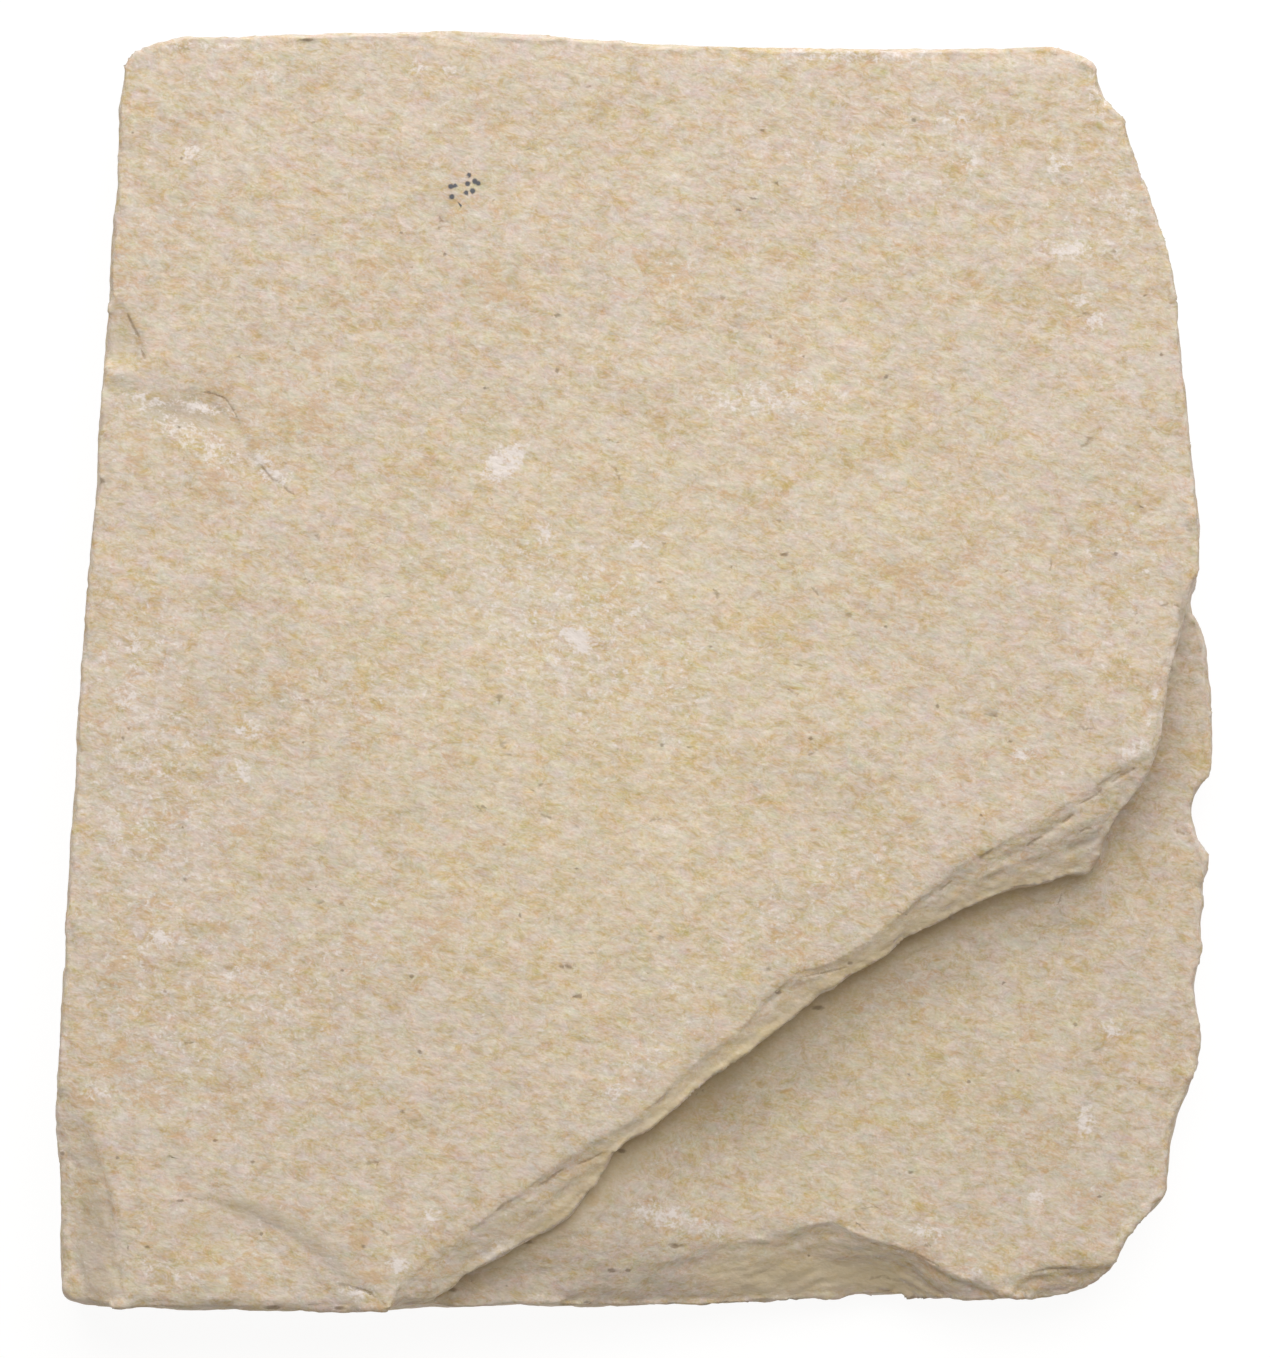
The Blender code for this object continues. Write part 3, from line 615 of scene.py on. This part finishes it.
def refine_at_marks(mesh):
    """Cuts long edges near the marks in half, a few times over, so that the marks are crisp."""
    for _ in range(MARK_ROUNDS):
        pairs = np.empty(len(mesh.edges) * 2, dtype=np.int32)
        mesh.edges.foreach_get("vertices", pairs)
        ends = points_of(mesh)[pairs.reshape(-1, 2)]
        middle = ends.mean(axis=1)
        long = np.linalg.norm(ends[:, 0] - ends[:, 1], axis=1) > MARK_EDGE
        asked = long & (middle[:, 2] > LOWER_BED[0])
        near = np.zeros(len(middle), dtype=bool)
        near[asked] = np.min(list(all_marks(middle[asked]).values()), axis=0) < MARK_REACH
        work = bmesh.new()
        work.from_mesh(mesh)
        work.edges.ensure_lookup_table()
        bmesh.ops.subdivide_edges(work, edges=[work.edges[i] for i in np.nonzero(near)[0]], cuts=1)
        bmesh.ops.triangulate(work, faces=[f for f in work.faces if len(f.verts) > 3])
        work.to_mesh(mesh)
        work.free()


def add_marks(mesh):
    """The mesh dips along the cracks, and knows how near each point is to each kind of mark and to
    the painted shade along the step's lip and on the front break.
    """
    p, n = points_of(mesh), normals_of(mesh)
    marks = all_marks(p)
    up = smoothstep(0.6, 0.9, n[:, 2])
    p[:, 2] -= CRACK_DEPTH * up * (1.0 - smoothstep(0.2, 1.4, marks["cracks"]))
    set_points(mesh, p)
    # the painted shade: a brown dark line under the step's lip and a yellower band where shade
    # falls
    marks["painted_lip_shade"] = nearness_to_lines(p, PAINTED_LIP_SHADE)
    marks["painted_warm_shade"] = nearness_to_lines(p, PAINTED_WARM_SHADE)
    for name, distance in marks.items():
        add_field(mesh, name, np.where(up > 0.2, distance, FAR))


# ---------------------------------------------------------------- colour fields on the mesh

PATCH_EDGE = (0.35, 1.6)    # in a patch's half widths, where it starts to fade and ends
LOOKING_UP = (0.3, 0.7)     # a normal's z at which patches start to show and show in full


def patches(p, ovals):
    """How strongly a set of soft oval patches covers each point, up to the patches' strength."""
    cover = np.zeros(len(p))
    inner, outer = PATCH_EDGE
    for x, y, half_width, half_height, turn, strength in ovals:
        centre = np.array(at_pixel(x, y))
        turn = math.radians(turn)
        turned = (p[:, :2] - centre) @ np.array([[math.cos(turn), -math.sin(turn)],
                                                 [math.sin(turn), math.cos(turn)]])
        radius = np.hypot(turned[:, 0] / (half_width * MM_PER_PIXEL),
                          turned[:, 1] / (half_height * MM_PER_PIXEL))
        cover = np.maximum(cover, strength * (1.0 - smoothstep(inner, outer, radius)))
    return cover


def add_field(mesh, name, values):
    field = mesh.attributes.new(name, "FLOAT", "POINT")
    field.data.foreach_set("value", values.astype(np.float32))


def add_patches(mesh):
    """The patches of colour, on faces that look up; the grey ones are partly painted shade."""
    p, n = points_of(mesh), normals_of(mesh)
    top = smoothstep(*LOOKING_UP, n[:, 2])
    for name, ovals in (("chalk", CHALK), ("rust", RUST), ("grey_and_shade", GREY_AND_PAINTED_SHADE), ("middle", MIDDLE)):
        add_field(mesh, name, patches(p, ovals) * top)


slab = bpy.data.objects.new("split_slab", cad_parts[NODE].data.copy())
bpy.context.scene.collection.objects.link(slab)
sculpt(slab)
thin(slab)
refine_at_marks(slab.data)
add_marks(slab.data)
slab.data.shade_smooth()
add_patches(slab.data)
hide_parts(NODE)
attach(slab, "root")


# ---------------------------------------------------------------- material

class Graph:
    """Short ways to add shader nodes. Values are sockets or plain numbers."""

    def __init__(self, tree):
        self.tree = tree

    def add(self, kind, **settings):
        node = self.tree.nodes.new("ShaderNode" + kind)
        for key, value in settings.items():
            setattr(node, key, value)
        return node

    def put(self, socket, value):
        if isinstance(value, bpy.types.NodeSocket):
            self.tree.links.new(value, socket)
        else:
            socket.default_value = value

    def math(self, operation, *values):
        node = self.add("Math", operation=operation)
        for socket, value in zip(node.inputs, values):
            self.put(socket, value)
        return node.outputs[0]

    def vector(self, operation, *values):
        node = self.add("VectorMath", operation=operation)
        for socket, value in zip(node.inputs, values):
            self.put(socket, value)
        return node.outputs[0]

    def scaled(self, vector, factor):
        node = self.add("VectorMath", operation="SCALE")
        self.put(node.inputs[0], vector)
        self.put(node.inputs["Scale"], factor)
        return node.outputs[0]

    def rise(self, value, low, high):
        """0 at low, 1 at high, and smooth between and level beyond. Low may be the greater."""
        node = self.add("MapRange", interpolation_type="SMOOTHSTEP", clamp=False)
        if low <= high:
            ends = (low, high, 0.0, 1.0)
        else:
            ends = (high, low, 1.0, 0.0)
        for socket, part in zip(node.inputs, (value, *ends)):
            self.put(socket, part)
        return node.outputs[0]

    def noise_node(self, place, size, detail, roughness, shift, curl=0.0):
        """Fractal noise whose largest features have the given size in mm."""
        node = self.add("TexNoise", noise_dimensions="3D", noise_type="FBM", normalize=True)
        moved = self.vector("ADD", place, (shift, shift * 0.7, shift * 1.3))
        self.put(node.inputs["Vector"], moved)
        self.put(node.inputs["Scale"], 1.0 / size)
        self.put(node.inputs["Detail"], detail)
        self.put(node.inputs["Roughness"], roughness)
        self.put(node.inputs["Distortion"], curl)
        return node

    def noise(self, place, size, detail, roughness, shift):
        """One noise about 0."""
        node = self.noise_node(place, size, detail, roughness, shift)
        return self.math("SUBTRACT", node.outputs["Fac"], 0.5)

    def channels(self, place, size, detail, roughness, shift, curl=0.0):
        """Three independent noises about 0."""
        split = self.add("SeparateColor")
        node = self.noise_node(place, size, detail, roughness, shift, curl)
        self.put(split.inputs[0], node.outputs["Color"])
        return [self.math("SUBTRACT", split.outputs[i], 0.5) for i in range(3)]

    def turned(self, place, degrees):
        """The place turned about the vertical."""
        node = self.add("VectorRotate", rotation_type="Z_AXIS")
        self.put(node.inputs["Vector"], place)
        self.put(node.inputs["Angle"], math.radians(degrees))
        return node.outputs[0]

    def mix(self, cover, strength, under, over):
        """One colour laid over another, covering it by the cover times the strength."""
        node = self.add("Mix", data_type="RGBA", clamp_factor=True)
        self.put(node.inputs[0], self.math("MULTIPLY", cover, strength))
        self.put(node.inputs[6], under)
        self.put(node.inputs[7], over)
        return node.outputs[2]

    def weighted(self, start, *parts):
        """A value plus the sum of (value, weight) pairs."""
        result = start
        for value, weight in parts:
            result = self.math("MULTIPLY_ADD", value, weight, result)
        return result

    def field(self, name):
        """A field of values kept on the mesh."""
        return self.add("Attribute", attribute_name=name).outputs["Fac"]

    def spread(self, value):
        """The value in all three parts of a vector."""
        node = self.add("CombineXYZ")
        for socket in node.inputs:
            self.put(socket, value)
        return node.outputs[0]


ROUGHNESS = 0.9
SPECULAR = 0.25
BUFF = (0.590, 0.516, 0.439)
# How the stone's colour moves for one step lighter, redder and yellower.
LIGHTER = (0.0060, 0.0060, 0.0056)
REDDER = (0.0047, -0.0016, 0.0008)
YELLOWER = (0.0004, 0.0002, -0.0043)
CHALK_COLOUR = (0.71, 0.655, 0.63, 1.0)
RUST_COLOUR = (0.51, 0.34, 0.18, 1.0)
# the grey patches' colour, partly the stone's own and partly painted shade
GREY_AND_SHADE_COLOUR = (0.42, 0.36, 0.285, 1.0)
SPECK_COLOUR = (0.16, 0.11, 0.07, 1.0)
DOT_COLOUR = (0.075, 0.085, 0.11, 1.0)
CRACK_COLOUR = (0.26, 0.19, 0.12, 1.0)
# painted shade: a brown dark line just under the step's lip
PAINTED_LIP_SHADE_COLOUR = (0.36, 0.24, 0.125, 1.0)
# painted shade: a yellower, slightly darker tint where shade falls along the lip and the front
# break
PAINTED_WARM_SHADE_COLOUR = (0.60, 0.50, 0.32, 1.0)

GRAIN_TURN = 12.0                # degrees that the grain is turned about the vertical
GRAIN_STRETCH = (0.68, 1.0, 1.6)
GRAIN_SIZE = 1.45                # mm, of the mottling
YELLOW_SIZE = 1.8                # mm
CLOUD_SIZE = 9.0                 # mm
FINE_SIZE = 0.8                  # mm
GRAIN_HEIGHT = 0.12              # mm, of the bumps
GREY_AND_SHADE_STRENGTH = 0.5
RUST_STRENGTH = 0.55
RUST_SPECK_STRENGTH = 0.7        # beside rust patches
CHALK_STRENGTH = 0.95
DARK_GRAIN_STRENGTH = 0.3
# The values at which a colour starts to show and shows in full.
OCHRE_RISE = (-0.12, 0.26)
GREY_AND_SHADE_RISE = (0.1, 0.9)
RUST_RISE = (0.2, 0.95)
RUST_SPECK_RISE = (0.19, 0.3)
CHALK_RISE = (0.3, 1.1)
DARK_GRAIN_RISE = (0.24, 0.3)
# Kind of mark, softness of its edge, how far its edge is frayed, strength and colour.
MARK_LOOKS = (
    # The first two are painted shade: a yellower band where shade falls along the step's lip and on
    # the front break, and a brown dark line just under the lip.
    ("painted_warm_shade", 0.95, 2.0, 0.6, PAINTED_WARM_SHADE_COLOUR),
    ("painted_lip_shade", 0.9, 4.0, 0.15, PAINTED_LIP_SHADE_COLOUR),
    ("specks", 0.5, 1.5, 0.6, SPECK_COLOUR),
    ("cracks", 0.6, 1.5, 0.5, CRACK_COLOUR),
    ("dots", 0.35, 0.6, 0.92, DOT_COLOUR),
)


def stone_material():
    material = bpy.data.materials.new("buff_limestone")
    material.use_nodes = True
    tree = material.node_tree
    shader = tree.nodes["Principled BSDF"]
    shader.inputs["Roughness"].default_value = ROUGHNESS
    shader.inputs["Specular IOR Level"].default_value = SPECULAR
    g = Graph(tree)
    place = g.scaled(g.add("TexCoord").outputs["Object"], 1.0 / MM)
    grain = g.vector("MULTIPLY", g.turned(place, GRAIN_TURN), GRAIN_STRETCH)

    # the mottled buff: each noise has its weights in steps lighter, redder and yellower
    mottle, light_part, red_part = g.channels(
        grain, GRAIN_SIZE, detail=3.0, roughness=1.0, shift=11.0, curl=0.3)
    cloud, red_cloud, light_cloud = g.channels(
        place, CLOUD_SIZE, detail=1.0, roughness=0.6, shift=23.0)
    yellow_part = g.noise(grain, YELLOW_SIZE, detail=2.0, roughness=0.7, shift=37.0)
    ochre = g.rise(g.weighted(mottle, (cloud, 0.15)), *OCHRE_RISE)
    middle = g.field("middle")
    light = g.weighted(0.0, (ochre, -21.0), (light_part, 66.0), (light_cloud, 8.0), (middle, 4.0))
    red = g.weighted(0.0, (ochre, 7.5), (red_part, 42.0), (red_cloud, 2.0))
    yellow = g.weighted(0.0, (ochre, 26.0), (yellow_part, 42.0), (cloud, 4.0), (middle, 5.0))
    colour = BUFF
    for steps, one_step in ((light, LIGHTER), (red, REDDER), (yellow, YELLOWER)):
        colour = g.vector("MULTIPLY_ADD", g.spread(steps), one_step, colour)

    # the patches, whose edges are frayed by the noises
    # grey patches: partly the stone's greyer colour, partly painted shade
    grey_and_shade = g.rise(g.weighted(g.field("grey_and_shade"), (light_part, 1.0)), *GREY_AND_SHADE_RISE)
    colour = g.mix(grey_and_shade, GREY_AND_SHADE_STRENGTH, colour, GREY_AND_SHADE_COLOUR)
    rust = g.rise(g.weighted(g.field("rust"), (red_part, 2.4)), *RUST_RISE)
    rust_specks = g.rise(g.math("ADD", red_part, red_cloud), *RUST_SPECK_RISE)
    rust = g.math("MAXIMUM", rust, g.math("MULTIPLY", rust_specks, RUST_SPECK_STRENGTH))
    colour = g.mix(rust, RUST_STRENGTH, colour, RUST_COLOUR)
    fine = g.noise(place, FINE_SIZE, detail=2.0, roughness=0.8, shift=101.0)
    chalk = g.rise(g.weighted(g.field("chalk"), (fine, 2.6), (mottle, -1.8)), *CHALK_RISE)
    colour = g.mix(chalk, CHALK_STRENGTH, colour, CHALK_COLOUR)

    # dark grains, then the small dark marks and the painted shade along the step's lip and on the
    # front break
    dark_grains = g.rise(fine, *DARK_GRAIN_RISE)
    colour = g.mix(dark_grains, DARK_GRAIN_STRENGTH, colour, SPECK_COLOUR)
    for name, softness, fraying, strength, mark_colour in MARK_LOOKS:
        near = g.weighted(g.field(name), (light_part, fraying))
        cover = g.rise(near, 1.0 + softness, 1.0 - softness)
        colour = g.mix(cover, strength, colour, mark_colour)
    g.put(shader.inputs["Base Color"], colour)

    bump = g.add("Bump")
    bump.inputs["Strength"].default_value = 1.0
    bump.inputs["Distance"].default_value = MM
    height = g.noise(grain, FINE_SIZE, detail=2.0, roughness=0.6, shift=131.0)
    g.put(bump.inputs["Height"], g.math("MULTIPLY", height, GRAIN_HEIGHT))
    g.put(shader.inputs["Normal"], bump.outputs[0])
    return material


slab.data.materials.clear()
slab.data.materials.append(stone_material())


# ---------------------------------------------------------------- stage, light and camera

FLOOR_HALF_WIDTH = 12.0    # m, so that low views see no end of it
FLOOR_ALBEDO = 0.10
FLOOR_GLOW = 0.92
KEY_DIRECTION = (0.1, 1.0, 1.0)    # from the top of the picture, halfway up
KEY_DISTANCE = 0.9         # m
KEY_WIDTH = 1.4            # m
KEY_POWER = 14.2           # W
SKY_COLOUR = (1.0, 0.9, 0.75)
SKY_STRENGTH = 0.32
SENSOR_WIDTH = 36.0        # mm
CAMERA_RANGE = (0.05, 20.0)    # m


def add_floor():
    """A pale table that glows a little, as a lit sweep does, so shadows on it stay light."""
    mesh = bpy.data.meshes.new("floor")
    half = FLOOR_HALF_WIDTH
    mesh.from_pydata([(-half, -half, 0), (half, -half, 0), (half, half, 0), (-half, half, 0)],
                     [], [(0, 1, 2, 3)])
    floor = bpy.data.objects.new("floor", mesh)
    bpy.context.scene.collection.objects.link(floor)
    material = bpy.data.materials.new("floor_white")
    material.use_nodes = True
    shader = material.node_tree.nodes["Principled BSDF"]
    shader.inputs["Base Color"].default_value = (FLOOR_ALBEDO, FLOOR_ALBEDO, FLOOR_ALBEDO, 1.0)
    shader.inputs["Emission Color"].default_value = (1.0, 1.0, 1.0, 1.0)
    shader.inputs["Emission Strength"].default_value = FLOOR_GLOW
    shader.inputs["Roughness"].default_value = 0.9
    shader.inputs["Specular IOR Level"].default_value = 0.1
    mesh.materials.append(material)


def add_key_light():
    """One big soft lamp."""
    data = bpy.data.lights.new("key", "AREA")
    data.shape = "DISK"
    data.size = KEY_WIDTH
    data.energy = KEY_POWER
    light = bpy.data.objects.new("key", data)
    light.location = Vector(KEY_DIRECTION).normalized() * KEY_DISTANCE
    light.rotation_euler = Vector(KEY_DIRECTION).to_track_quat("Z", "Y").to_euler()
    bpy.context.scene.collection.objects.link(light)


def add_sky():
    """Even light from all sides."""
    world = bpy.data.worlds.new("studio")
    world.use_nodes = True
    background = world.node_tree.nodes["Background"]
    background.inputs["Color"].default_value = (*SKY_COLOUR, 1.0)
    background.inputs["Strength"].default_value = SKY_STRENGTH
    bpy.context.scene.world = world


def add_camera():
    """A camera straight above, whose frame is the photograph's."""
    data = bpy.data.cameras.new("camera")
    data.sensor_width = SENSOR_WIDTH
    frame_height = PHOTO_SIZE[1] * MM_PER_PIXEL
    data.lens = SENSOR_WIDTH * (CAMERA_DISTANCE - FOCUS_HEIGHT) / frame_height
    data.clip_start, data.clip_end = CAMERA_RANGE
    camera = bpy.data.objects.new("camera", data)
    across = (PHOTO_SIZE[0] / 2 - CENTRE_PIXEL[0]) * MM_PER_PIXEL
    along = (CENTRE_PIXEL[1] - PHOTO_SIZE[1] / 2) * MM_PER_PIXEL
    camera.location = (across * MM, along * MM, CAMERA_DISTANCE * MM)
    bpy.context.scene.collection.objects.link(camera)
    bpy.context.scene.camera = camera


add_floor()
add_key_light()
add_sky()
add_camera()
bpy.context.scene.view_settings.view_transform = "Standard"
